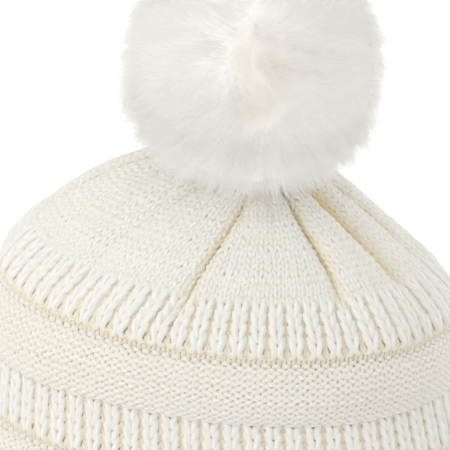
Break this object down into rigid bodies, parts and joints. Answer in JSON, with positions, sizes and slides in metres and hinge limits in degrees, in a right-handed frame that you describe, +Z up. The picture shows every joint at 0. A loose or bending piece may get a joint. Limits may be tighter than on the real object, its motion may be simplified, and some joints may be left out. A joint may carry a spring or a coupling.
{
  "type": "pom pom beanie",
  "caption": "Cream ribbed-knit winter beanie with raised purl rolls, a gathered crown and a white faux-fur pom that swivels and pulls off a press stud.",
  "frame": {"origin": "middle of the head opening, on the plane that the brim stands on", "axes": "+Z up through the crown and the pom, +X along the head oval's long axis, -Y towards the side that the picture shows"},
  "size_m": [0.215, 0.1624, 0.278],
  "materials": {
    "cream_knit": "matte",
    "seam_yarn": "matte",
    "drawstring_yarn": "matte",
    "felt": "matte",
    "snap_metal": "satin",
    "spring_wire": "satin",
    "hub_plastic": "matte",
    "pelt_backing": "matte",
    "pelt_thread": "matte",
    "stuffing": "matte",
    "white_fur": "matte"
  },
  "bodies": {
    "hat": {"brim_edge": "cream_knit", "brim_rib": "cream_knit", "lower_purl_roll": "cream_knit", "middle_rib": "cream_knit", "upper_purl_roll": "cream_knit", "shoulder_rib": "cream_knit", "crown_gathers": "cream_knit", "back_seam": "seam_yarn", "crown_drawstring": "drawstring_yarn", "crown_patch": "felt", "stud_rivet": "snap_metal", "snap_stud": "snap_metal"},
    "snap_hub": {"snap_socket": "snap_metal", "socket_springs": "spring_wire", "hub_disc": "hub_plastic", "socket_rivet": "snap_metal"},
    "pom": {"pom_pelt": "pelt_backing", "pom_thread": "pelt_thread", "pom_stuffing": "stuffing", "pom_fur": "white_fur"}
  },
  "joints": [
    {"name": "pom_pull", "type": "slide", "parent": "hat", "child": "snap_hub", "axis": [0, 0, 1], "range_m": [0, 0.06]},
    {"name": "pom_swivel", "type": "hinge", "parent": "snap_hub", "child": "pom", "pos_m": [0, 0, 0.1859], "axis": [0, 0, 1], "continuous": true}
  ]
}
